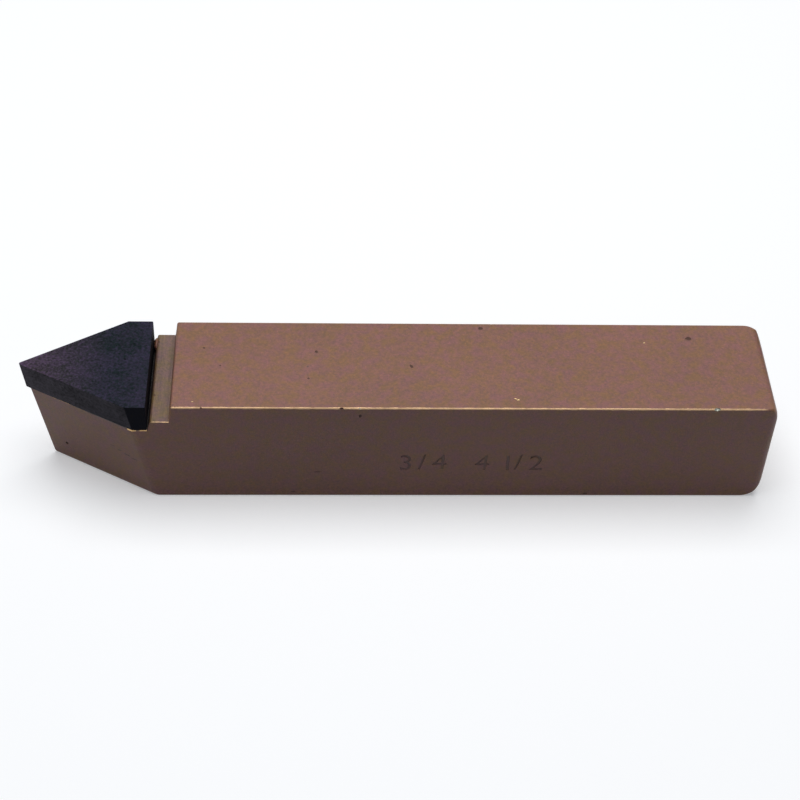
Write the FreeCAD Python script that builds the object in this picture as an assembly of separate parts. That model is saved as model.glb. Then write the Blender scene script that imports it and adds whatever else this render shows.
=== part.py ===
# Brazed carbide threading tool: a square steel shank whose front end is a 60 degree V nose, with a flat
# carbide tip brazed into a seat cut across its top. The part is one rigid thing made of three pieces: the
# shank, the film of braze on the seat, and the carbide tip.
#
# Frame, in millimetres: X runs along the shank, and the cutting point is at the low end. Y runs across the
# shank, and Z is up. The shank lies on its flat base at Z = 0, with the origin under its middle.

import FreeCAD, Part
import math
import os

# Shank: a 3/4 inch square bar, 4 1/2 inches from the cutting point to the rear end
overall_length = 114.3
shank_width = 19.05
shank_height = 19.05
edge_break = 0.3                 # radius left on the four long edges by tumbling before painting

# Rear end of the shank, where the bar was cut off and its corners were rounded
rear_side_radius = 2.5           # the two upright corners
rear_bottom_radius = 3.2         # the lower end edge
rear_top_radius = 1.0            # the upper end edge

# Carbide tip: a 3/16 inch thick blank, as wide as the shank
tip_thickness = 4.76
tip_length = 19.45               # from the cutting point to the flat back face
near_flank_angle = 29.5          # each flank as ground, from the line of the shank
far_flank_angle = 31.2
point_offset = 0.1               # the point stands this far to the near side of the middle
tip_relief = 5.0                 # the flanks lean in under the cutting edges by this angle
nose_radius = 0.25               # at the cutting edge
nose_radius_low = 0.05           # at the underside, where the conical nose runs out
tip_back_corner_radius = 0.2

# Braze: a thin film under the tip, and the filler left in the groove behind it
braze_thickness = 0.1
braze_root_height = 0.5

# Seat, ledge and shoulder, cut across the top of the shank behind the tip
seat_wall_height = 2.2           # from the seat floor to the ledge, on the far side
seat_wall_lean = 15.0            # degrees off the vertical, so that a groove opens behind the tip
seat_wall_gap = 0.04             # between the back of the tip and the foot of the wall
ledge_edge_radius = 0.6          # on the front edge of the ledge
ledge_length = 2.68              # from the top of the seat wall to the foot of the shoulder
ledge_fall = 0.44                # the ledge is this much lower on the near side
shoulder_lean = 8.5              # degrees off the vertical
shoulder_edge_radius = 0.3

# V nose of the shank below the tip
shank_half_angle = 30.0
shank_setback = 0.12             # how far the steel flanks stand in from the underside of the tip
shank_relief = 5.5
shank_nose_radius_high = 0.4     # at the seat
shank_nose_radius_low = 0.1      # at the base
flank_corner_radius = 0.4        # where each flank meets the side of the shank

# Places worked out from the sizes above
half_length = overall_length / 2
half_width = shank_width / 2
tip_half_angle = (near_flank_angle + far_flank_angle) / 2
tip_underside = shank_height - tip_thickness
seat_floor = tip_underside - braze_thickness
point_x = -half_length
tip_back = point_x + tip_length
wall_foot = tip_back + seat_wall_gap
margin = 10.0                    # how far the cutting tools overshoot the bar


def sine(degrees):
    return math.sin(math.radians(degrees))


def tangent(degrees):
    return math.tan(math.radians(degrees))


def vector(x, y, z):
    return FreeCAD.Vector(x, y, z)


def run_along(relief, depth, half_angle):
    """How far the point of a V with relieved flanks moves back along X over a depth."""
    return depth * tangent(relief) / sine(half_angle)


def rounded(corner, before, after, radius):
    """The two tangent points and the middle of the arc that rounds a corner of an outline."""
    to_before = (before - corner).normalize()
    to_after = (after - corner).normalize()
    half_turn = to_before.getAngle(to_after) / 2
    reach = radius / math.tan(half_turn)
    bisector = (to_before + to_after).normalize()
    middle = corner + bisector * (radius / math.sin(half_turn) - radius)
    return corner + to_before * reach, middle, corner + to_after * reach


def outline(corners):
    """A closed wire through corners, each given as a point and the radius that rounds it."""
    edges = []
    first = None
    last = None
    for i, (corner, radius) in enumerate(corners):
        before = corners[i - 1][0]
        after = corners[(i + 1) % len(corners)][0]
        if radius > 0:
            start, middle, end = rounded(corner, before, after, radius)
            arc = Part.Arc(start, middle, end).toShape()
        else:
            start, arc, end = corner, None, corner
        if last is not None:
            edges.append(Part.LineSegment(last, start).toShape())
        else:
            first = start
        if arc is not None:
            edges.append(arc)
        last = end
    edges.append(Part.LineSegment(last, first).toShape())
    return Part.Wire(edges)


def flank_tool(apex, angle, relief, side):
    """The space outside one ground flank. It leaves the point at an angle and leans in with depth."""
    reach = overall_length
    tool = Part.makeBox(reach + margin, reach, 2 * reach, vector(-margin, 0, -reach))
    tool.rotate(vector(0, 0, 0), vector(1, 0, 0), -relief)
    if side < 0:
        tool = tool.mirror(vector(0, 0, 0), vector(0, 1, 0))
    tool.rotate(vector(0, 0, 0), vector(0, 0, 1), side * angle)
    tool.translate(apex)
    return tool


def grind_v(blank, apex, near_angle, far_angle, relief):
    """Cuts both flanks of a V nose that would come to a sharp point at the apex."""
    blank = blank.cut(flank_tool(apex, near_angle, relief, -1))
    return blank.cut(flank_tool(apex, far_angle, relief, 1))


def upright_edges(shape, low_x, high_x):
    """The edges that climb from the bottom to the top of a shape between two places along X."""
    box = shape.BoundBox
    found = []
    for edge in shape.Edges:
        ends = [vertex.Point for vertex in edge.Vertexes]
        if len(ends) == 2 and abs(ends[0].z - ends[1].z) > 0.99 * box.ZLength:
            if all(low_x < end.x < high_x for end in ends):
                found.append(edge)
    return found


def round_nose(shape, low_radius, high_radius):
    """Rounds the front upright edge, with a radius that changes from its foot to its head."""
    edge = min(upright_edges(shape, -2 * overall_length, 2 * overall_length), key=lambda e: e.CenterOfMass.x)
    from_foot = edge.valueAt(edge.FirstParameter).z < edge.valueAt(edge.LastParameter).z
    radii = (low_radius, high_radius) if from_foot else (high_radius, low_radius)
    return shape.makeFillet(radii[0], radii[1], [edge])


# Where each V would come to a sharp point: on the cutting edges, under the tip, and on the steel at the seat
tip_apex = vector(point_x - nose_radius * (1 / sine(tip_half_angle) - 1), -point_offset, shank_height)
tip_run = run_along(tip_relief, tip_thickness, tip_half_angle)
tip_apex_low = vector(tip_apex.x + tip_run, -point_offset, tip_underside)
seat_apex = vector(tip_apex_low.x + shank_setback / sine(shank_half_angle), 0, seat_floor)

# Side profile of the seat, the ledge and the shoulder, from the front to the rear
ledge_height = seat_floor + seat_wall_height
wall_top = wall_foot + seat_wall_height * tangent(seat_wall_lean)
shoulder_foot = wall_top + ledge_length
shoulder_top = shoulder_foot + (shank_height - ledge_height) * tangent(shoulder_lean)


def make_carbide_tip():
    """The carbide blank, ground to its V, with a conical nose and its back corners just broken."""
    blank = Part.makeBox(
        tip_length + margin, shank_width, tip_thickness, vector(point_x - margin, -half_width, tip_underside)
    )
    tip = grind_v(blank, tip_apex, near_flank_angle, far_flank_angle, tip_relief)
    back = upright_edges(tip, tip_back - 1e-3, tip_back + 1e-3)
    tip = tip.makeFillet(tip_back_corner_radius, back)
    return round_nose(tip, nose_radius_low, nose_radius)


def make_braze_layer():
    """The film between seat and tip, no wider than either, and the filler at the root of the wall."""
    root_top = seat_floor + braze_root_height
    front = point_x - margin
    profile = Part.makePolygon([
        vector(front, -half_width, seat_floor),
        vector(wall_foot, -half_width, seat_floor),
        vector(wall_foot + braze_root_height * tangent(seat_wall_lean), -half_width, root_top),
        vector(tip_back, -half_width, root_top),
        vector(tip_back, -half_width, tip_underside),
        vector(front, -half_width, tip_underside),
        vector(front, -half_width, seat_floor),
    ])
    film = Part.Face(profile).extrude(vector(0, shank_width, 0))
    film = grind_v(film, tip_apex_low, near_flank_angle, far_flank_angle, tip_relief)
    return grind_v(film, seat_apex, shank_half_angle, shank_half_angle, shank_relief)


def make_shank():
    """The bar as three profiles that meet: its V in plan, its square section, and its side view."""
    plan = Part.makeBox(
        overall_length + margin, shank_width, shank_height, vector(point_x - margin, -half_width, 0)
    )
    plan = grind_v(plan, seat_apex, shank_half_angle, shank_half_angle, shank_relief)
    rear = upright_edges(plan, half_length - 1e-3, half_length + 1e-3)
    plan = plan.makeFillet(rear_side_radius, rear)
    uprights = upright_edges(plan, point_x, tip_back + margin)
    corners = [edge for edge in uprights if abs(edge.CenterOfMass.y) > 0.9 * half_width]
    plan = plan.makeFillet(flank_corner_radius, corners)
    nose_growth = (shank_nose_radius_high - shank_nose_radius_low) / seat_floor
    plan = round_nose(plan, shank_nose_radius_low, shank_nose_radius_low + nose_growth * shank_height)

    front = point_x - margin
    section = outline([
        (vector(front, -half_width, 0), edge_break),
        (vector(front, half_width, 0), edge_break),
        (vector(front, half_width, shank_height), edge_break),
        (vector(front, -half_width, shank_height), edge_break),
    ])
    bar = Part.Face(section).extrude(vector(overall_length + 2 * margin, 0, 0))

    side = outline([
        (vector(front, -margin - half_width, 0), 0),
        (vector(half_length, -margin - half_width, 0), rear_bottom_radius),
        (vector(half_length, -margin - half_width, shank_height), rear_top_radius),
        (vector(shoulder_top, -margin - half_width, shank_height), shoulder_edge_radius),
        (vector(shoulder_foot, -margin - half_width, ledge_height), 0),
        (vector(wall_top, -margin - half_width, ledge_height), ledge_edge_radius),
        (vector(wall_foot, -margin - half_width, seat_floor), 0),
        (vector(front, -margin - half_width, seat_floor), 0),
    ])
    side = Part.Face(side).extrude(vector(0, shank_width + 2 * margin, 0))
    shank = plan.common(bar).common(side)
    return shank.cut(make_ledge_fall())


def make_ledge_fall():
    """The wedge that the ledge loses towards the near side, up to the foot of the shoulder."""
    low = ledge_height - ledge_fall
    corners = [
        vector(wall_foot - margin, -half_width, low),
        vector(shoulder_foot - ledge_fall * tangent(shoulder_lean), -half_width, low),
        vector(shoulder_foot, -half_width, ledge_height),
        vector(wall_foot - margin, -half_width, ledge_height),
    ]
    wedge = Part.Face(Part.makePolygon(corners + corners[:1])).extrude(vector(0, shank_width, 0))
    below = Part.makePolygon([
        vector(wall_foot - 2 * margin, -half_width, low - margin),
        vector(wall_foot - 2 * margin, half_width, low - margin),
        vector(wall_foot - 2 * margin, half_width, ledge_height),
        vector(wall_foot - 2 * margin, -half_width, low),
        vector(wall_foot - 2 * margin, -half_width, low - margin),
    ])
    return wedge.cut(Part.Face(below).extrude(vector(4 * margin, 0, 0)))


os.makedirs("parts", exist_ok=True)
pieces = {
    "shank": make_shank(),
    "braze_layer": make_braze_layer(),
    "carbide_tip": make_carbide_tip(),
}
for name, shape in pieces.items():
    solids = shape.Solids
    if len(solids) != 1 or not solids[0].isValid():
        raise ValueError(name + " is not one valid solid")
    solids[0].exportStep("parts/" + name + ".step")
    box = solids[0].BoundBox
    print(name, round(solids[0].Volume, 2), "mm3, X", round(box.XMin, 3), round(box.XMax, 3),
          "Y", round(box.YMin, 3), round(box.YMax, 3), "Z", round(box.ZMin, 3), round(box.ZMax, 3))
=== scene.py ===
"""A brazed carbide threading tool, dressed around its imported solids.

The shank, the seam of filler and the carbide tip are modelled again here, each in the place of its solid, with the
broken edges, marks and finishes of the real pieces. Lengths are written in millimetres and multiplied by mm, in the
frame of the solids: X along the shank with the cutting point at the low end, Y across it, Z up from its flat base.
"""

import math
import random

import bpy
from mathutils import Matrix, Vector


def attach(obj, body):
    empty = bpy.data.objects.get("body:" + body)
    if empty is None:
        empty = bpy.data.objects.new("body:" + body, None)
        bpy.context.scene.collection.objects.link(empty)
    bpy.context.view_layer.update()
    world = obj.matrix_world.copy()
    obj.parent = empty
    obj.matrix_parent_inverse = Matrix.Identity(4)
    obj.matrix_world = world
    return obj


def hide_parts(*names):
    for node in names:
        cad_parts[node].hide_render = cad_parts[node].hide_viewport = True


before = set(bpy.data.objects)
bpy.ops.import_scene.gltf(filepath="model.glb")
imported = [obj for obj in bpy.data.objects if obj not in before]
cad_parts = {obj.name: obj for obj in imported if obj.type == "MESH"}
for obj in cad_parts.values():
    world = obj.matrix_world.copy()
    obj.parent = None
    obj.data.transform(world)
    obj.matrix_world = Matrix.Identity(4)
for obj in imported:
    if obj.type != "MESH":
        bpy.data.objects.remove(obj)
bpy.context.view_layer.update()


# ---- Shank ----
# One square bar of tool steel, rounded at the rear. Its front is ground to a V with relief, and a seat, a sloping
# ledge and a shoulder are milled across its top. It is tumbled, stamped with its size, and sprayed with bronze paint.

mm = 0.001
rear_x, half_width, height = 57.15, 9.525, 19.05
seat_floor, ledge_height = 14.19, 16.39
seat_wall_x, shoulder_foot_x = -37.66, -34.39
ledge_fall = 0.44                        # how much lower the ledge is on the near side
seat_wall_lean, shoulder_lean = 15.0, 8.5
steel_point = (-56.34, 0.0, seat_floor)  # where the flanks would meet in a sharp V at the seat
steel_half_angle, steel_relief = 30.0, 5.5


def block(name, low, high):
    """The plain blank between two corners that a piece or a cutter is made from."""
    bpy.ops.object.select_all(action="DESELECT")
    bpy.ops.mesh.primitive_cube_add(
        size=1,
        location=[(a + b) / 2 * mm for a, b in zip(low, high)],
        scale=[(b - a) * mm for a, b in zip(low, high)],
    )
    bpy.ops.object.transform_apply(location=True, rotation=True, scale=True)
    blank = bpy.context.object
    blank.name = blank.data.name = name
    return blank


def pick(piece, kind, wanted):
    """Goes into edit mode with only those vertices, edges or faces selected that pass a test."""
    bpy.context.view_layer.objects.active = piece
    bpy.ops.object.mode_set(mode="EDIT")
    bpy.ops.mesh.select_mode(type=kind)
    bpy.ops.mesh.select_all(action="DESELECT")
    bpy.ops.object.mode_set(mode="OBJECT")
    parts = {"VERT": piece.data.vertices, "EDGE": piece.data.edges, "FACE": piece.data.polygons}[kind]
    for part in parts:
        part.select = wanted(part)
    bpy.ops.object.mode_set(mode="EDIT")


def shift(piece, wanted, move):
    """Moves the vertices that pass a test."""
    pick(piece, "VERT", lambda vertex: wanted(vertex.co / mm))
    bpy.ops.transform.translate(value=Vector(move) * mm)
    bpy.ops.object.mode_set(mode="OBJECT")


def grind(piece, point, angle, relief, side):
    """Grinds one flank of a V: it leaves the point at an angle to the shank and leans in with depth."""
    turn, lean = math.radians(angle), math.radians(relief)
    outward = (-math.sin(turn) * math.cos(lean), side * math.cos(turn) * math.cos(lean), -math.sin(lean))
    pick(piece, "FACE", lambda face: True)
    bpy.ops.mesh.bisect(plane_co=Vector(point) * mm, plane_no=outward, use_fill=True, clear_outer=True)
    bpy.ops.object.mode_set(mode="OBJECT")
    return Vector(outward)


def cut(piece, cutter):
    """Takes the shape of a cutter out of a piece, enlarged so that fine cuts come out clean, and removes the cutter."""
    enlarged = 300
    for part in (piece, cutter):
        part.data.transform(Matrix.Scale(enlarged, 4))
    bpy.context.view_layer.objects.active = piece
    boolean = piece.modifiers.new("cut", "BOOLEAN")
    boolean.object = cutter
    boolean.solver = "EXACT"
    boolean.material_mode = "TRANSFER"       # the faces it leaves keep the cutter's finish
    bpy.ops.object.modifier_apply(modifier=boolean.name)
    bpy.data.objects.remove(cutter)
    pick(piece, "VERT", lambda vertex: True)
    bpy.ops.mesh.remove_doubles(threshold=0.002 * mm * enlarged)
    bpy.ops.object.mode_set(mode="OBJECT")
    piece.data.transform(Matrix.Scale(1 / enlarged, 4))


def break_edges(piece, widest, segments, width_of):
    """Rounds edges in one pass. width_of gives each edge's setback from its two ends, and 0 leaves it sharp."""
    mesh = piece.data
    weights = mesh.attributes.new("bevel_weight_edge", "FLOAT", "EDGE")
    for edge in mesh.edges:
        first, second = sorted((mesh.vertices[i].co / mm for i in edge.vertices), key=lambda end: tuple(end))
        weights.data[edge.index].value = width_of(first, second) / widest
    bevel = piece.modifiers.new("broken_edges", "BEVEL")
    bevel.limit_method = "WEIGHT"
    bevel.width = widest * mm
    bevel.segments = segments
    bevel.use_clamp_overlap = False
    bpy.context.view_layer.objects.active = piece
    bpy.ops.object.modifier_apply(modifier=bevel.name)
    piece.data.attributes.remove(piece.data.attributes["bevel_weight_edge"])


rear_bottom_radius = 3.2
rear_side_radius = {-1: 1.3, 1: 2.5}             # of the near and of the far upright corner
rear_top_reach = {-1: 1.2, 1: 0.7}               # where the upper end edge begins to fall, and how far it falls
rear_top_drop = {-1: 2.1, 1: 1.5}
rounding_x = rear_x - rear_bottom_radius         # from here the rear end is round
shank = block("painted_shank", (-rear_x, -half_width, 0), (rounding_x, half_width, height))
steel_flanks = [grind(shank, steel_point, steel_half_angle, steel_relief, side) for side in (-1, 1)]

# The ledge cutter leans at the shoulder and is lower on the near side; the seat cutter leans at the wall
reach, over = 12.0, 25.0
shoulder_slope = math.tan(math.radians(shoulder_lean))
ledge_cutter = block("ledge_cutter", (-70, -reach, ledge_height), (shoulder_foot_x, reach, over))
shift(ledge_cutter, lambda v: v.x > -50 and v.z > 20, ((over - ledge_height) * shoulder_slope, 0, 0))
for side in (-1, 1):
    drop = ledge_fall * (0.5 - side * reach / (2 * half_width))
    shift(ledge_cutter, lambda v: v.y * side > 0 and v.z < 20, (0, 0, -drop))
    shift(ledge_cutter, lambda v: v.y * side > 0 and v.z < 20 and v.x > -50, (-drop * shoulder_slope, 0, 0))
cut(shank, ledge_cutter)
seat_cutter = block("seat_cutter", (-70, -reach, seat_floor), (seat_wall_x, reach, over))
wall_slope = math.tan(math.radians(seat_wall_lean))
shift(seat_cutter, lambda v: v.x > -50 and v.z > 20, ((over - seat_floor) * wall_slope, 0, 0))
cut(shank, seat_cutter)

long_edge_radius, widest_setback = 0.3, 0.7


def setback(first, second):
    """How far each edge of the bar is broken back, from the places of its two ends."""
    middle = (first + second) / 2
    on_side = abs(abs(first.y) - half_width) < 0.01 and abs(first.y - second.y) < 0.01
    rise = abs(first.z - second.z)
    if middle.x > rounding_x - 1:
        return 0.0                           # the blank's rear end, which is rounded below
    if min(first.z, second.z) > height - 0.01 or (on_side and max(first.z, second.z) < 0.01):
        return long_edge_radius
    if max(first.z, second.z) < 0.01:
        return 0.5                           # under the V
    if middle.x < -36.5 and rise > 10:
        return widest_setback if on_side else 0.43       # where a flank meets the side, and the nose
    if abs(middle.z - seat_floor) < 0.01 and middle.x < seat_wall_x - 0.01:
        return 0.1                           # the rim of the seat
    if on_side and middle.z > seat_floor + 0.3:      # the sides of the wall, the ledge and the shoulder
        return 0.1 if middle.x < -37.1 else 0.22 if middle.z < 17 else 0.25
    if rise < 0.5 and abs(first.y - second.y) > 10 and abs(middle.x + 37.13) < 0.1:
        return 0.3                           # the front edge of the ledge
    return 0.0


break_edges(shank, widest_setback, 5, setback)

# The rear end is drawn out in rings, each a little smaller, and its corners grow rounder towards the end face. The
# upper end edge falls in a curve that starts almost at once, and falls more on the near side.
rings, corner_growth, drop_curve = 14, 1.1, 1.3


def rounding(radius, depth):
    """How far an edge of this radius has come in at a depth from the end face."""
    return radius - math.sqrt(radius ** 2 - (radius - depth) ** 2) if depth < radius else 0.0


# How far out each side of a ring is, its bottom, its top and the radius of its corners
outline = {side: (half_width, 0.0, height, long_edge_radius) for side in (-1, 1)}
for ring in range(1, rings + 1):
    depth = rear_bottom_radius * (1 - math.sin(math.radians(90 * ring / rings)))
    inner = {side: (
        half_width - rounding(rear_side_radius[side], depth),
        rounding(rear_bottom_radius, depth),
        height - rear_top_drop[side] * max(0.0, 1 - depth / rear_top_reach[side]) ** drop_curve,
        long_edge_radius + corner_growth * (ring / rings) ** 2,
    ) for side in (-1, 1)}
    end_x = max(vertex.co.x for vertex in shank.data.vertices)
    pick(shank, "FACE", lambda face: face.center.x > end_x - 0.001 * mm)
    bpy.ops.mesh.extrude_region_move(TRANSFORM_OT_translate={"value": ((rear_x - depth) * mm - end_x, 0, 0)})
    bpy.ops.object.mode_set(mode="OBJECT")
    for vertex in (vertex for vertex in shank.data.vertices if vertex.select):
        y, z = vertex.co.y / mm, vertex.co.z / mm
        side, up, edge = math.copysign(1, y), math.copysign(1, z - height / 2), 2 if z > height / 2 else 1
        before, after = outline[side], inner[side]
        out_y = (abs(y) - before[0]) / before[3] + 1
        out_z = (z - before[edge]) / before[3] + up
        vertex.co.y = side * (after[0] + after[3] * (out_y - 1)) * mm
        vertex.co.z = (after[edge] + after[3] * (out_z - up)) * mm
    outline = inner


def cone_nose(piece, point, flanks, low, high, fullness):
    """Turns the even rounding of a V's nose into a cone. fullness is its size at the low and the high end."""
    reach_of_nose = 1.3
    crest = flanks[0].cross(flanks[1])
    for vertex in piece.data.vertices:
        here = vertex.co / mm
        sharp = Vector(point) + crest * ((here.z - point[2]) / crest.z)
        if (here - sharp).length < reach_of_nose and here.z < high + 0.01:
            share = (here.z - low) / (high - low)
            moved = sharp + (here - sharp) * (fullness[0] + (fullness[1] - fullness[0]) * share)
            vertex.co = Vector((moved.x, moved.y, here.z)) * mm


cone_nose(shank, steel_point, steel_flanks, 0, seat_floor, (0.4, 1.6))


def plug(tree, socket, value):
    """Links a socket into another, or sets it to a plain value."""
    if isinstance(value, bpy.types.NodeSocket):
        tree.links.new(value, socket)
    else:
        socket.default_value = value


def add(tree, kind, settings=None, **inputs):
    """Adds a shader node with its settings and inputs."""
    node = tree.nodes.new("ShaderNode" + kind)
    for name, value in (settings or {}).items():
        setattr(node, name, value)
    for name, value in inputs.items():
        plug(tree, node.inputs[name.replace("_", " ")], value)
    return node


def blend(tree, share, low, high, mode="MIX"):
    """Mixes two colours and gives the socket with the result."""
    node = add(tree, "Mix", {"data_type": "RGBA", "blend_type": mode})
    for index, value in ((0, share), (6, low), (7, high)):
        plug(tree, node.inputs[index], value)
    return node.outputs[2]


def reckon(tree, operation, *values):
    """One step of arithmetic on values that change over the surface."""
    node = add(tree, "Math", {"operation": operation})
    for index, value in enumerate(values):
        plug(tree, node.inputs[index], value)
    return node.outputs[0]


def span(tree, value, low, high, to_low=0.0, to_high=1.0):
    """Maps a value from one range to another, and stops at both ends."""
    node = add(tree, "MapRange", Value=value, From_Min=low, From_Max=high, To_Min=to_low, To_Max=to_high)
    return node.outputs[0]


def noise(tree, place, scale, detail=2.0, roughness=0.5, stretch=None):
    """Cloudy noise with this many cells to the metre, drawn out along an axis where stretch says so."""
    if stretch:
        place = add(tree, "Mapping", Vector=place, Scale=stretch).outputs[0]
    return add(tree, "TexNoise", Vector=place, Scale=scale, Detail=detail, Roughness=roughness).outputs["Fac"]


def new_group(name, takes, gives):
    """A shader node group. takes lists the names, kinds and first values of its inputs, gives those of its outputs."""
    group = bpy.data.node_groups.new(name, "ShaderNodeTree")
    for socket, kind, first in takes:
        group.interface.new_socket(socket, in_out="INPUT", socket_type="NodeSocket" + kind).default_value = first
    for socket, kind in gives:
        group.interface.new_socket(socket, in_out="OUTPUT", socket_type="NodeSocket" + kind)
    return group, group.nodes.new("NodeGroupInput").outputs, group.nodes.new("NodeGroupOutput").inputs


def new_finish(name, **values):
    """A material with its Principled shader, and what is the same all over set on the shader's own sockets."""
    finish = bpy.data.materials.new(name)
    finish.use_nodes = True
    tree = finish.node_tree
    shader = tree.nodes["Principled BSDF"].inputs
    for socket, value in values.items():
        shader[socket.replace("_", " ")].default_value = value
    return finish, tree, shader


# Sprayed metal flake: fine grain, patches where the film lies thicker, painted glints on single flakes, and dust that
# dried in it
flake_paint, given, out = new_group(
    "flake_paint",
    [("Colour", "Color", (0.25, 0.13, 0.1, 1)), ("Grain", "Float", 1.0), ("Dust", "Float", 1.0)],
    [("Colour", "Color"), ("Roughness", "Float"), ("Height", "Float")],
)
place = add(flake_paint, "TexCoord").outputs["Object"]
flecks = noise(flake_paint, place, 2600.0, 2.0, 0.7)
flakes = add(flake_paint, "SeparateColor", Color=add(
    flake_paint, "TexVoronoi", Vector=place, Scale=6500.0).outputs["Color"]).outputs
olive = blend(flake_paint, 1.0, given["Colour"], (0.98, 1.05, 0.68, 1), "MULTIPLY")
rose = blend(flake_paint, 1.0, given["Colour"], (1.02, 0.94, 1.34, 1), "MULTIPLY")
tint = blend(flake_paint, span(flake_paint, noise(flake_paint, place, 520.0, 2.0, 0.6), 0.35, 0.65), olive, rose)
film = span(flake_paint, noise(flake_paint, place, 60.0), 0.3, 0.7, 0.94, 1.06)
level = reckon(flake_paint, "MULTIPLY_ADD", span(flake_paint, flecks, 0.28, 0.72, -0.3, 0.3), given["Grain"], film)
# Single flakes are made lighter in colour: painted glints
level = reckon(flake_paint, "ADD", level, span(flake_paint, flakes[0], 0.88, 1.0, 0.0, 0.25))
shade = add(flake_paint, "VectorMath", {"operation": "SCALE"}, Scale=level)
plug(flake_paint, shade.inputs[0], tint)
cells = add(flake_paint, "TexVoronoi", Vector=place, Scale=190.0)
picked = span(flake_paint, add(flake_paint, "SeparateColor", Color=cells.outputs["Color"]).outputs[1], 0.8, 0.82)
speck = reckon(flake_paint, "MULTIPLY", span(flake_paint, cells.outputs["Distance"], 0.045, 0.015), picked)
plug(flake_paint, out["Colour"], blend(
    flake_paint, reckon(flake_paint, "MULTIPLY", speck, given["Dust"]), shade.outputs[0], (0.06, 0.035, 0.028, 1)))
plug(flake_paint, out["Roughness"], span(flake_paint, flecks, 0.3, 0.7, 0.44, 0.6))
plug(flake_paint, out["Height"], reckon(flake_paint, "MULTIPLY_ADD", flakes[1], 0.4, flecks))

# Rubbing through at an edge, with a painted highlight: the bright colour on the crown stands both for worn-through
# paint and for a lamp's reflection. The first input is the piece's own value, 1 on the crown of the edge and 0 where
# the flats begin
rubbed_edge_and_highlight, given, out = new_group(
    "rubbed_edge_and_highlight",
    [("Wear", "Float", 0.0), ("Colour", "Color", (0.25, 0.13, 0.1, 1)), ("BareAndHighlight", "Color", (0.44, 0.285, 0.16, 1)),
     ("Roughness", "Float", 0.5)],
    [("Colour", "Color"), ("Metallic", "Float"), ("Roughness", "Float")],
)
place = add(rubbed_edge_and_highlight, "TexCoord").outputs["Object"]
rubs = noise(rubbed_edge_and_highlight, place, 900.0, 3.0, 0.65)
through = span(rubbed_edge_and_highlight, reckon(rubbed_edge_and_highlight, "MULTIPLY_ADD", rubs, 1.1, given["Wear"]), 0.85, 1.2)
plug(rubbed_edge_and_highlight, out["Colour"], blend(rubbed_edge_and_highlight, through, given["Colour"], given["BareAndHighlight"]))
plug(rubbed_edge_and_highlight, out["Metallic"], reckon(rubbed_edge_and_highlight, "MULTIPLY_ADD", through, 0.6, 0.05))
plug(rubbed_edge_and_highlight, out["Roughness"], add(
    rubbed_edge_and_highlight, "Mix", {"data_type": "FLOAT"}, Factor=through, A=given["Roughness"], B=0.46).outputs[0])


def paint(name, colour, grain, dust, bumpiness):
    """Bronze paint on bare steel, rubbed through at the edges the piece marks, with a painted highlight there."""
    finish, tree, shader = new_finish(name, Specular_IOR_Level=0.46)
    film = add(tree, "Group", {"node_tree": flake_paint}, Colour=colour, Grain=grain, Dust=dust).outputs
    wear_and_highlight = add(tree, "Attribute", {"attribute_name": "wear_and_highlight"}).outputs["Fac"]
    worn = add(tree, "Group", {"node_tree": rubbed_edge_and_highlight}, Wear=wear_and_highlight, Colour=film["Colour"],
               Roughness=film["Roughness"]).outputs
    for name in ("Metallic", "Roughness"):
        plug(tree, shader[name], worn[name])
    plug(tree, shader["Base Color"], worn["Colour"])
    bump = add(tree, "Bump", Strength=bumpiness, Distance=0.03 * mm, Height=film["Height"])
    plug(tree, shader["Normal"], bump.outputs[0])
    return finish, tree, bump, film


sprayed_bronze, *_ = paint("sprayed_bronze", (0.189, 0.079, 0.047, 1), 1.0, 1.0, 0.35)
# The same paint at half its brightness, for the walls of struck figures and scratches: painted shade in the grooves
groove_shade_bronze, *_ = paint("groove_shade_bronze", (0.095, 0.044, 0.029, 1), 1.0, 0.0, 0.35)

# The ledge was milled last, so the film over it is thin and the cutter's lines show through
milled_bronze, tree, bump, film = paint("milled_bronze", (0.128, 0.072, 0.045, 1), 1.2, 2.0, 0.6)
lines = noise(tree, add(tree, "TexCoord").outputs["Object"], 1.0, 3.0, 0.6, stretch=(4200.0, 160.0, 160.0))
plug(tree, bump.inputs["Height"], reckon(tree, "MULTIPLY_ADD", lines, 1.4, film["Height"]))
streaked = blend(tree, 1.0, film["Colour"], add(
    tree, "CombineColor", Red=span(tree, lines, 0.3, 0.7, 0.8, 1.25), Green=span(tree, lines, 0.3, 0.7, 0.8, 1.25),
    Blue=span(tree, lines, 0.3, 0.7, 0.82, 1.2)).outputs[0], "MULTIPLY")
plug(tree, next(node for node in tree.nodes if node.type == "GROUP" and node.node_tree == rubbed_edge_and_highlight).inputs[
    "Colour"], streaked)

# Dirt that settled in the dents, whose dark colour also stands as painted shade on the wall in the gap behind the tip,
# the bright steel at the bottom of the largest one, and scratched flake
dent_dirt_and_gap_shade, tree, shader = new_finish("dent_dirt_and_gap_shade", Specular_IOR_Level=0.2)
grit = noise(tree, add(tree, "TexCoord").outputs["Object"], 5000.0, 3.0, 0.7)
plug(tree, shader["Base Color"], blend(
    tree, span(tree, grit, 0.35, 0.65), (0.06, 0.03, 0.022, 1), (0.12, 0.062, 0.046, 1)))
plug(tree, shader["Roughness"], span(tree, grit, 0.3, 0.7, 0.6, 0.8))
bare_steel, tree, shader = new_finish("bare_steel")
scuff = noise(tree, add(tree, "TexCoord").outputs["Object"], 4000.0, 3.0, 0.7)
plug(tree, shader["Base Color"], blend(
    tree, span(tree, scuff, 0.4, 0.6), (0.16, 0.17, 0.14, 1), (0.5, 0.52, 0.46, 1)))
plug(tree, shader["Metallic"], span(tree, scuff, 0.35, 0.55, 0.3, 0.9))
plug(tree, shader["Roughness"], span(tree, scuff, 0.3, 0.7, 0.55, 0.35))

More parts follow.
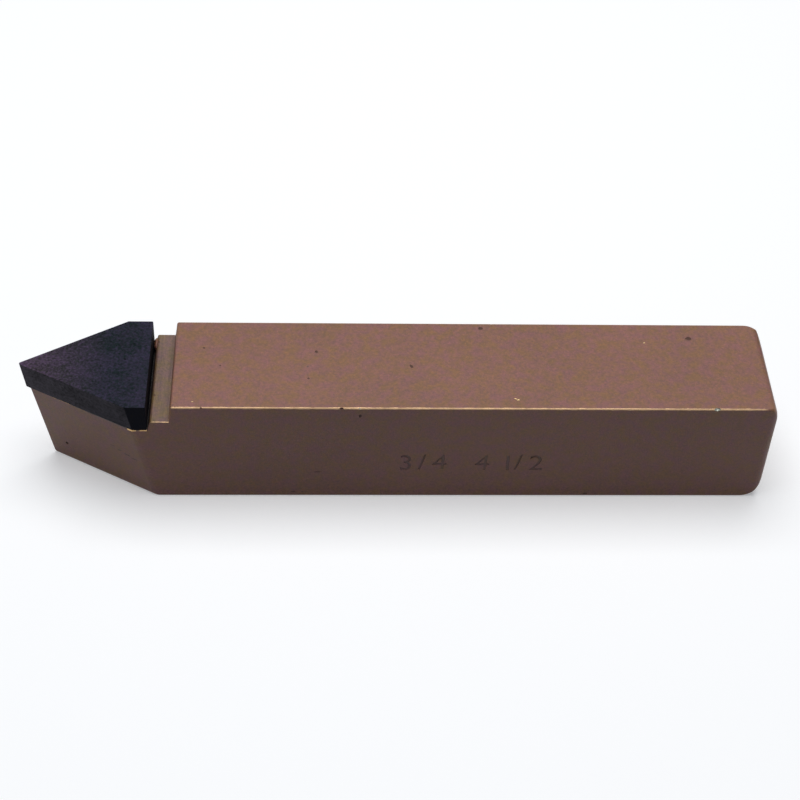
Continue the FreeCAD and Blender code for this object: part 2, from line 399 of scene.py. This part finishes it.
gold_scratch, tree, shader = new_finish("gold_scratch")
glitter = noise(tree, add(tree, "TexCoord").outputs["Object"], 6000.0, 2.0, 0.6)
plug(tree, shader["Base Color"], blend(
    tree, span(tree, glitter, 0.35, 0.65), (0.4, 0.25, 0.1, 1), (0.75, 0.55, 0.28, 1)))
plug(tree, shader["Metallic"], span(tree, glitter, 0.3, 0.7, 0.3, 0.7))
plug(tree, shader["Roughness"], span(tree, glitter, 0.3, 0.7, 0.5, 0.35))

shank.data.materials.clear()
shank.data.materials.append(sprayed_bronze)
random.seed(11)


def join(parts):
    """Makes one mesh of several and gives the first, which the others go into."""
    bpy.ops.object.select_all(action="DESELECT")
    for part in parts:
        part.select_set(True)
    bpy.context.view_layer.objects.active = parts[0]
    if len(parts) > 1:
        bpy.ops.object.join()
    return parts[0]


def cut_dents(piece, finish, dents):
    """Dents a piece: each is a place, a size along each axis and a turn about Z, in millimetres and degrees."""
    for place, size, turn in dents:
        bpy.ops.object.select_all(action="DESELECT")
        bpy.ops.mesh.primitive_ico_sphere_add(subdivisions=2, radius=mm / 2)
        dent = bpy.context.object
        for vertex in dent.data.vertices:
            vertex.co *= random.uniform(0.8, 1.15)
        dent.matrix_world = Matrix.Translation(Vector(place) * mm) @ Matrix.Rotation(
            math.radians(turn), 4, "Z") @ Matrix.Diagonal((*size, 1))
        bpy.ops.object.transform_apply(location=True, rotation=True, scale=True)
        dent.data.materials.append(finish)
        cut(piece, dent)


# The size, three quarters by four and a half inches, is struck in the near side one figure at a time, so the figures
# stand unevenly and bite a little deeper at their upper left
figure_size, figure_base, figure_bite = 4.7, 5.9, 0.14
figures = []
for figure_x, figure in ((0.0, "3"), (3.0, "/"), (5.2, "4"), (11.7, "4"), (15.7, "1"), (17.8, "/"), (20.0, "2")):
    bpy.ops.object.select_all(action="DESELECT")
    bpy.ops.object.text_add()
    punch = bpy.context.object
    punch.data.body = figure
    punch.data.size = figure_size * mm
    punch.data.extrude = 0.02 * mm
    punch.data.bevel_depth = figure_bite * mm
    punch.data.offset = -figure_bite * mm
    bpy.ops.object.convert(target="MESH")
    pick(punch, "VERT", lambda vertex: True)
    bpy.ops.mesh.remove_doubles(threshold=0.002 * mm)
    bpy.ops.object.mode_set(mode="OBJECT")
    depth = random.uniform(-0.035, -0.01)
    tilt = Matrix.Rotation(math.radians(random.uniform(-1.5, 1.5)), 4, "Y") @ Matrix.Rotation(
        math.radians(random.uniform(-0.9, -0.3)), 4, "X") @ Matrix.Rotation(
        math.radians(random.uniform(-1.2, -0.4)), 4, "Z")
    punch.matrix_world = Matrix.Translation(
        Vector((figure_x, -half_width + depth, figure_base + random.uniform(-0.12, 0.12))) * mm
    ) @ tilt @ Matrix.Rotation(math.radians(90), 4, "X")
    bpy.ops.object.transform_apply(location=True, rotation=True, scale=True)
    figures.append(punch)

stamp = join(figures)
# The walls of the figures take the darker paint: painted shade in the grooves
stamp.data.materials.append(groove_shade_bronze)
cut(shank, stamp)

cut_dents(shank, dent_dirt_and_gap_shade, [
    ((13.0, 8.3, height), (0.8, 0.7, 0.12), 0), ((1.9, -0.37, height), (0.5, 0.8, 0.12), 20),
    ((-29.6, 3.5, height), (0.42, 0.4, 0.06), 0), ((-12.5, 2.8, height), (0.5, 0.6, 0.1), 10),
    ((-13.7, -3.1, height), (0.4, 0.35, 0.06), 0), ((-27.0, -0.4, height), (0.35, 0.3, 0.05), 0),
    ((45.4, 6.2, height), (1.0, 0.9, 0.14), 0), ((-29.5, -9.5, height - 0.06), (0.4, 0.3, 0.26), 0),
    ((-8.8, -9.5, height - 0.08), (0.75, 0.4, 0.4), 0), ((-6.0, -half_width, 17.5), (0.5, 0.08, 0.6), 0),
    ((29.5, -half_width, 0.62), (0.7, 0.12, 0.32), 0), ((-36.85, -3.8, 16.15), (0.4, 0.8, 0.22), 10),
    ((-36.9, 7.7, 16.36), (0.3, 0.6, 0.2), 0), ((-51.2, -1.72, 3.85), (0.9, 0.22, 0.95), -30),
    ((-12.3, -half_width, 5.4), (1.5, 0.08, 0.14), 0), ((-16.0, -half_width, 0.95), (0.8, 0.08, 0.12), 0),
    ((31.2, half_width, 12.1), (0.7, 0.1, 0.6), 0), ((-20.4, half_width, 4.4), (0.9, 0.1, 0.4), 0),
])
# Scratches down the near flank, their walls in the darker paint: painted shade in the grooves
cut_dents(shank, groove_shade_bronze, [
    ((-43.4, -6.84, 8.3), (1.1, 0.1, 0.26), -30), ((-42.3, -7.43, 7.9), (1.0, 0.11, 0.34), -30),
    ((-41.2, -8.03, 7.5), (1.5, 0.13, 0.42), -30), ((-40.1, -8.62, 7.15), (1.4, 0.12, 0.4), -30),
])
cut_dents(shank, bare_steel, [
    ((47.4, -9.43, height - 0.08), (1.15, 0.5, 0.5), 6), ((-6.1, -9.5, height - 0.05), (0.4, 0.25, 0.25), 0),
    ((14.8, 9.46, height - 0.08), (0.7, 0.3, 0.3), 0),
])
cut_dents(shank, gold_scratch, [
    ((17.2, -7.35, height), (0.55, 0.16, 0.08), -25), ((17.6, -7.6, height), (0.5, 0.3, 0.08), 15),
    ((-30.8, -8.2, height), (0.3, 0.14, 0.06), 10), ((38.3, 5.2, height), (0.35, 0.2, 0.06), 30),
])

# The thin film on the ledge, and painted shade on the wall in the gap behind the tip
shank.data.materials.append(milled_bronze)
ledge_low, ledge_front_x = 15.5, -37.0
for face in shank.data.polygons:
    here = face.center / mm
    on_ledge = seat_wall_x < here.x < shoulder_foot_x - 0.02 and ledge_low < here.z < ledge_height + 0.05
    if on_ledge and face.normal.z > 0.35:
        if shank.data.materials[face.material_index] == sprayed_bronze:
            face.material_index = shank.data.materials.find("milled_bronze")
    # The wall in the gap takes the dark dent colour: painted shade
    elif seat_wall_x - 0.1 < here.x < ledge_front_x and face.normal.x < -0.8:
        face.material_index = shank.data.materials.find("dent_dirt_and_gap_shade")

# The long upper edges and the short ones beside the ledge are rubbed through on their crowns, and carry a painted
# highlight there
flat = set()
for face in shank.data.polygons:
    if max(map(abs, face.normal)) > 0.995 or (abs(face.normal.y) < 0.1 and face.normal.x < -0.1):
        flat.update(face.vertices)
wear_and_highlight = shank.data.attributes.new("wear_and_highlight", "FLOAT", "POINT")
for vertex in shank.data.vertices:
    here = vertex.co / mm
    in_y, in_z = half_width - abs(here.y), height - here.z
    if vertex.index in flat:
        continue
    if here.x > shoulder_foot_x and in_z < long_edge_radius and in_y < rear_side_radius[-1]:
        crown = min(long_edge_radius - in_z, long_edge_radius - in_y) / 0.2
        to_rear = (rear_x - rear_top_reach[-1] - here.x) / 1.5
        wear_and_highlight.data[vertex.index].value = max(0.0, min(1.0, crown, to_rear))
    elif ledge_front_x + 0.05 < here.x < shoulder_foot_x and here.z > ledge_low + 0.2 and in_y < 0.21:
        wear_and_highlight.data[vertex.index].value = 0.9

bpy.ops.object.select_all(action="DESELECT")
shank.select_set(True)
bpy.context.view_layer.objects.active = shank
bpy.ops.object.shade_smooth_by_angle(angle=math.radians(40))
even = shank.modifiers.new("even_normals", "WEIGHTED_NORMAL")
even.keep_sharp = True
bpy.ops.object.modifier_apply(modifier=even.name)
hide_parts("shank")
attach(shank, "root")


# ---- Braze seam ----
# A film of brass filler, a tenth of a millimetre thick, that ran under the tip when it was brazed. It swells to a
# rough bead where it meets the open air, and stands half a millimetre high in the root behind the tip.

film_thickness, root_height = 0.10, 0.5
tip_back_x = -37.70
tip_point = (-57.40, -0.1, height)       # the sharp V of the ground tip at its top face
tip_half_angle, tip_relief = {-1: 29.5, 1: 31.2}, 5.0
seam_top = seat_floor + film_thickness
seam_step, root_step, rim_width = 0.55, 0.8, 0.22
spills = (-48.7, -46.1, -51.9)           # where the filler stands out of the ground flanks

seam = block("braze_seam", (-60, -half_width + 0.02, seat_floor), (tip_back_x, half_width - 0.02, seam_top))
for side in (-1, 1):
    grind(seam, tip_point, tip_half_angle[side], tip_relief, side)
    grind(seam, steel_point, steel_half_angle, steel_relief, side)
for step in range(1, 34):
    pick(seam, "FACE", lambda face: True)
    bpy.ops.mesh.bisect(plane_co=Vector((-56.4 + seam_step * step, 0, 0)) * mm, plane_no=(1, 0, 0))
    bpy.ops.object.mode_set(mode="OBJECT")
for up in (1, -1):
    pick(seam, "FACE", lambda face: face.normal.z * up > 0.9)
    bpy.ops.mesh.inset(thickness=rim_width * mm, use_boundary=True)
    bpy.ops.object.mode_set(mode="OBJECT")
    rim = {i for face in seam.data.polygons if abs(face.normal.z) < 0.5 for i in face.vertices}
    for index in rim:
        vertex = seam.data.vertices[index]
        here = vertex.co / mm
        if (here.z - seat_floor - film_thickness / 2) * up > 0:
            ground_flush = here.x < -41.2 and min(abs(here.x - x) for x in spills) > 0.4
            vertex.co.z += up * (random.uniform(0.02, 0.05) if ground_flush else random.uniform(0.08, 0.14)) * mm
for vertex in seam.data.vertices:
    if abs(vertex.co.y / mm) < half_width - 0.1 and vertex.index in rim:
        vertex.co.y += math.copysign(random.uniform(-0.05, 0.05), vertex.co.y) * mm

root = block(
    "braze_root",
    (tip_back_x - 0.02, -half_width + 0.03, seat_floor),
    (seat_wall_x + 0.02, half_width - 0.03, seat_floor + root_height),
)
shift(root, lambda v: v.x > seat_wall_x and v.z > seat_floor + 0.1, (root_height * wall_slope, 0, 0))
for step in range(1, 24):
    pick(root, "FACE", lambda face: True)
    bpy.ops.mesh.bisect(plane_co=Vector((0, -half_width + root_step * step, 0)) * mm, plane_no=(0, 1, 0))
    bpy.ops.object.mode_set(mode="OBJECT")
for vertex in root.data.vertices:
    if vertex.co.z / mm > seat_floor + 0.3:
        vertex.co.z += random.uniform(-0.16, 0.02) * mm
join([seam, root])

# Bright filler at the side, a skin of oxide on most of the flanks, and painted shade at the root behind the tip
brass_filler, tree, shader = new_finish("brass_filler")
place = add(tree, "TexCoord").outputs["Object"]
scale = noise(tree, place, 700.0, 3.0, 0.65)
fine = noise(tree, place, 3500.0, 2.0, 0.6)
gold = blend(tree, span(tree, fine, 0.35, 0.65), (0.42, 0.24, 0.09, 1), (0.78, 0.52, 0.25, 1))
lengthwise = add(tree, "SeparateXYZ", Vector=place).outputs[0]
on_flank = reckon(tree, "ADD", span(tree, lengthwise, -0.0405, -0.0408, 0.0, 0.3), span(
    tree, lengthwise, -0.046, -0.05, 0.0, -0.23))
# The root is painted near black: painted shade in the gap behind the tip
in_root = span(tree, lengthwise, -0.03772, -0.03768)
oxide = span(tree, reckon(tree, "ADD", reckon(tree, "ADD", scale, on_flank), in_root), 0.5, 0.62)
skinned = blend(tree, oxide, gold, (0.075, 0.045, 0.032, 1))
plug(tree, shader["Base Color"], blend(tree, in_root, skinned, (0.007, 0.005, 0.005, 1)))
plug(tree, shader["Metallic"], span(tree, oxide, 0.0, 1.0, 0.85, 0.2))
plug(tree, shader["Roughness"], reckon(tree, "MULTIPLY_ADD", in_root, 0.35, span(tree, fine, 0.3, 0.7, 0.34, 0.52)))
plug(tree, shader["Normal"], add(tree, "Bump", Strength=0.5, Distance=0.04 * mm, Height=scale).outputs[0])
seam.data.materials.append(brass_filler)
bpy.ops.object.select_all(action="DESELECT")
seam.select_set(True)
bpy.ops.object.shade_smooth_by_angle(angle=math.radians(50))
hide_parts("braze_layer")
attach(seam, "root")


# ---- Corner filler ----
# A lump of filler that ran up between the tip and the ledge at the far corner. It was sprayed over with the shank,
# so it has the same bronze paint.

lump_place, lump_size = (-37.27, 8.15, 15.45), (0.9, 2.5, 1.8)
bpy.ops.object.select_all(action="DESELECT")
bpy.ops.mesh.primitive_ico_sphere_add(subdivisions=4, radius=mm / 2)
lump = bpy.context.object
lump.name = lump.data.name = "painted_filler_lump"
lump.matrix_world = Matrix.Translation(Vector(lump_place) * mm) @ Matrix.Diagonal((*lump_size, 1))
bpy.ops.object.transform_apply(location=True, rotation=True, scale=True)
for wave in range(2):
    pick(lump, "VERT", lambda vertex: True)
    bpy.ops.transform.vertex_random(offset=0.09 * mm / (wave + 1), seed=5 + wave, normal=0.5)
    bpy.ops.mesh.vertices_smooth(factor=0.5, repeat=3 - wave)
    bpy.ops.object.mode_set(mode="OBJECT")
lump.data.materials.append(sprayed_bronze)
bpy.ops.object.select_all(action="DESELECT")
lump.select_set(True)
bpy.context.view_layer.objects.active = lump
bpy.ops.object.shade_smooth()
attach(lump, "root")


# ---- Carbide tip ----
# A pressed and sintered blank of tungsten carbide, brazed into its seat and then ground to a 60 degree point on its
# top and both flanks. Its sides and back keep the black skin of the sintering.

nose_setback, tip_floor = 0.427, seam_top
tip = block("ground_carbide_tip", (-60, -half_width, tip_floor), (tip_back_x, half_width, height))
tip_flanks = [grind(tip, tip_point, tip_half_angle[side], tip_relief, side) for side in (-1, 1)]


def upright_setback(first, second):
    """The rounding of the tip's nose, of its back corners, and of the edges between flanks and sides."""
    middle_x = (first.x + second.x) / 2
    if abs(first.z - second.z) < 4:
        return 0.0
    return nose_setback if middle_x < -50 else 0.2 if middle_x > -38 else 0.06


def honed_setback(first, second):
    """The hair's breadth that honing takes off the top edges, and a little more at the seam."""
    if max(first.z, second.z) < tip_floor + 0.01:
        return 0.08 if (first.x + second.x) / 2 > -56.2 else 0.0
    return 0.03 if min(first.z, second.z) > height - 0.01 else 0.0


break_edges(tip, nose_setback, 4, upright_setback)
cone_nose(tip, tip_point, tip_flanks, tip_floor, height, (0.2, 1.15))
break_edges(tip, 0.08, 2, honed_setback)

ground_carbide, tree, shader = new_finish("ground_carbide", Specular_Tint=(0.86, 0.78, 1.0, 1))
place = add(tree, "TexCoord").outputs["Object"]
along = add(tree, "SeparateXYZ", Vector=place).outputs
upright = span(tree, add(tree, "SeparateXYZ", Vector=add(tree, "NewGeometry").outputs["Normal"]).outputs[2], 0.3, 0.7)
mottle = add(tree, "Mix", {"data_type": "FLOAT"}, Factor=0.62, A=noise(tree, place, 330.0, 3.0, 0.6),
             B=noise(tree, place, 2300.0, 2.0, 0.7)).outputs[0]
pores = noise(tree, place, 2800.0, 2.0, 0.7)
top_lines = noise(tree, place, 1.0, 2.0, 0.6, stretch=(300.0, 3800.0, 300.0))
flank_lines = noise(tree, place, 1.0, 2.0, 0.6, stretch=(300.0, 300.0, 3800.0))
wheel_lines = add(tree, "Mix", {"data_type": "FLOAT"}, Factor=upright, A=flank_lines, B=top_lines).outputs[0]
# Lighter and purple towards the point: a heat tint, and a painted reflection that fades towards the back
blue = blend(tree, span(tree, mottle, 0.4, 0.6), (0.005, 0.0105, 0.011, 1), (0.014, 0.011, 0.027, 1))
heat_tint_and_sheen = blend(tree, span(tree, mottle, 0.4, 0.6), (0.036, 0.029, 0.033, 1), (0.062, 0.037, 0.072, 1))
ground = blend(tree, span(tree, along[0], -0.056, -0.044), heat_tint_and_sheen, blue)
level = reckon(tree, "ADD", span(tree, wheel_lines, 0.3, 0.7, 0.88, 1.12), span(tree, pores, 0.28, 0.72, -0.55, 0.55))
# Faces that do not look up keep only 8 percent of this colour: painted shade on the flanks
level = reckon(tree, "MULTIPLY", level, span(tree, upright, 0.0, 1.0, 0.08, 1.0))
shade = add(tree, "VectorMath", {"operation": "SCALE"}, Scale=level)
plug(tree, shade.inputs[0], ground)
plug(tree, shader["Base Color"], shade.outputs[0])
plug(tree, shader["Metallic"], span(tree, mottle, 0.3, 0.7, 0.12, 0.26))
plug(tree, shader["Roughness"], span(tree, wheel_lines, 0.3, 0.7, 0.38, 0.52))
plug(tree, shader["Specular IOR Level"], span(tree, mottle, 0.36, 0.64, 0.03, 0.16))
plug(tree, shader["Normal"], add(
    tree, "Bump", Strength=0.25, Distance=0.01 * mm, Height=reckon(tree, "ADD", wheel_lines, pores)).outputs[0])

sintered_skin, tree, shader = new_finish("sintered_skin", Specular_IOR_Level=0.05)
skin = noise(tree, add(tree, "TexCoord").outputs["Object"], 1500.0, 3.0, 0.65)
plug(tree, shader["Base Color"], blend(
    tree, span(tree, skin, 0.35, 0.65), (0.0015, 0.0015, 0.003, 1), (0.005, 0.005, 0.008, 1)))
plug(tree, shader["Roughness"], span(tree, skin, 0.3, 0.7, 0.6, 0.75))
plug(tree, shader["Normal"], add(tree, "Bump", Strength=0.4, Distance=0.03 * mm, Height=skin).outputs[0])

tip.data.materials.append(ground_carbide)
cut_dents(tip, sintered_skin, [
    ((-41.4, 0.9, height), (0.45, 0.35, 0.08), 0), ((-50.9, 3.2, height), (0.22, 0.16, 0.05), 0),
    ((-48.7, -4.35, tip_floor), (0.5, 0.14, 0.18), -30), ((-46.1, -5.85, tip_floor), (0.34, 0.12, 0.14), -30),
    ((-43.2, -7.5, tip_floor), (0.3, 0.1, 0.12), -30), ((-52.6, -2.1, tip_floor), (0.3, 0.1, 0.12), -30),
    ((-49.6, 4.0, tip_floor), (0.4, 0.12, 0.14), 30), ((-44.5, 7.1, tip_floor), (0.3, 0.1, 0.12), 30),
])
for face in tip.data.polygons:
    sawn = abs(face.normal.y) > 0.95 or face.normal.x > 0.3 or face.normal.z < -0.5
    if sawn:
        face.material_index = tip.data.materials.find("sintered_skin")
bpy.ops.object.select_all(action="DESELECT")
tip.select_set(True)
bpy.context.view_layer.objects.active = tip
bpy.ops.object.shade_smooth_by_angle(angle=math.radians(40))
even = tip.modifiers.new("even_normals", "WEIGHTED_NORMAL")
even.keep_sharp = True
bpy.ops.object.modifier_apply(modifier=even.name)
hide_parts("carbide_tip")
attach(tip, "root")


# ---- Floor and light ----
# A white sheet under the tool, a large soft lamp above it and a little behind, and a weak one at the front left. The
# sheet is white to the camera and to reflections, and throws back less light than paper would.

bpy.ops.object.select_all(action="DESELECT")
bpy.ops.mesh.primitive_plane_add(size=8)
floor = bpy.context.object
floor.name = "floor"
white_sheet = bpy.data.materials.new("white_sheet")
white_sheet.use_nodes = True
tree = white_sheet.node_tree
tree.nodes.remove(tree.nodes["Principled BSDF"])
rays = add(tree, "LightPath").outputs
seen = reckon(tree, "MAXIMUM", reckon(
    tree, "MAXIMUM", rays["Is Camera Ray"], rays["Is Glossy Ray"]), rays["Is Transmission Ray"])
distance = add(tree, "VectorMath", {"operation": "LENGTH"})
plug(tree, distance.inputs[0], add(tree, "TexCoord").outputs["Object"])
far_off = span(tree, distance.outputs["Value"], 0.12, 0.4)
dull = add(tree, "BsdfDiffuse", Color=(0.24, 0.33, 0.46, 1)).outputs[0]
paper = add(tree, "BsdfDiffuse", Color=(0.8, 0.8, 0.8, 1)).outputs[0]
glow = add(tree, "Emission", Color=(1, 1, 1, 1), Strength=0.32).outputs[0]
horizon = add(tree, "Emission", Color=(1, 1, 1, 1), Strength=1.0).outputs[0]


def mix_shaders(share, low, high):
    """Goes from one shader to another."""
    node = add(tree, "MixShader")
    for index, value in enumerate((share, low, high)):
        plug(tree, node.inputs[index], value)
    return node.outputs[0]


lit = add(tree, "AddShader")
plug(tree, lit.inputs[0], paper)
plug(tree, lit.inputs[1], glow)
plug(tree, tree.nodes["Material Output"].inputs["Surface"], mix_shaders(
    seen, dull, mix_shaders(far_off, lit.outputs[0], horizon)))
floor.data.materials.append(white_sheet)


def soft_lamp(name, place, target, size, energy, colour=(1, 1, 1)):
    """A square soft box that faces a point."""
    bpy.ops.object.light_add(type="AREA", location=place)
    lamp = bpy.context.object
    lamp.name = name
    lamp.rotation_euler = (Vector(target) - Vector(place)).to_track_quat("-Z", "Y").to_euler()
    lamp.data.size = size
    lamp.data.energy = energy
    lamp.data.color = colour


soft_lamp("overhead", (0.0, 0.1, 0.6), (0, 0.02, 0), 0.5, 3.4)
soft_lamp("front_left", (-0.5, -0.14, 0.2), (-0.02, 0, 0.01), 0.2, 0.13, (0.75, 0.88, 1.0))

studio = bpy.data.worlds.new("studio")
studio.use_nodes = True
bpy.context.scene.world = studio
tree = studio.node_tree
rays = add(tree, "LightPath").outputs
seen = reckon(tree, "MAXIMUM", reckon(
    tree, "MAXIMUM", rays["Is Camera Ray"], rays["Is Glossy Ray"]), rays["Is Transmission Ray"])
plug(tree, tree.nodes["Background"].inputs["Color"], blend(tree, seen, (0.7, 0.9, 1.2, 1), (1, 1, 1, 1)))
plug(tree, tree.nodes["Background"].inputs["Strength"], span(tree, seen, 0.0, 1.0, 0.09, 1.0))


# ---- Camera ----
# It stands where the photograph was taken from: in front, a little left of the middle, looking down by 44 degrees.

focal_pixels, frame_pixels = 1735.67, 800
stand = (-13.48, -192.24, 199.1)
yaw, pitch, roll = (math.radians(a) for a in (-4.15, 44.22, 3.1))
forward = Vector((-math.sin(yaw) * math.cos(pitch), math.cos(yaw) * math.cos(pitch), -math.sin(pitch)))
level_right = Vector((math.cos(yaw), math.sin(yaw), 0))
level_up = level_right.cross(forward)
right = level_right * math.cos(roll) + level_up * math.sin(roll)
upward = level_up * math.cos(roll) - level_right * math.sin(roll)
bpy.ops.object.camera_add()
camera = bpy.context.object
camera.matrix_world = Matrix.Translation(Vector(stand) * mm) @ Matrix(
    (right, upward, -forward)).transposed().to_4x4()
camera.data.sensor_width = 36
camera.data.lens = focal_pixels / frame_pixels * 36
camera.data.clip_start = 0.01
bpy.context.scene.camera = camera
bpy.context.scene.view_settings.view_transform = "Standard"
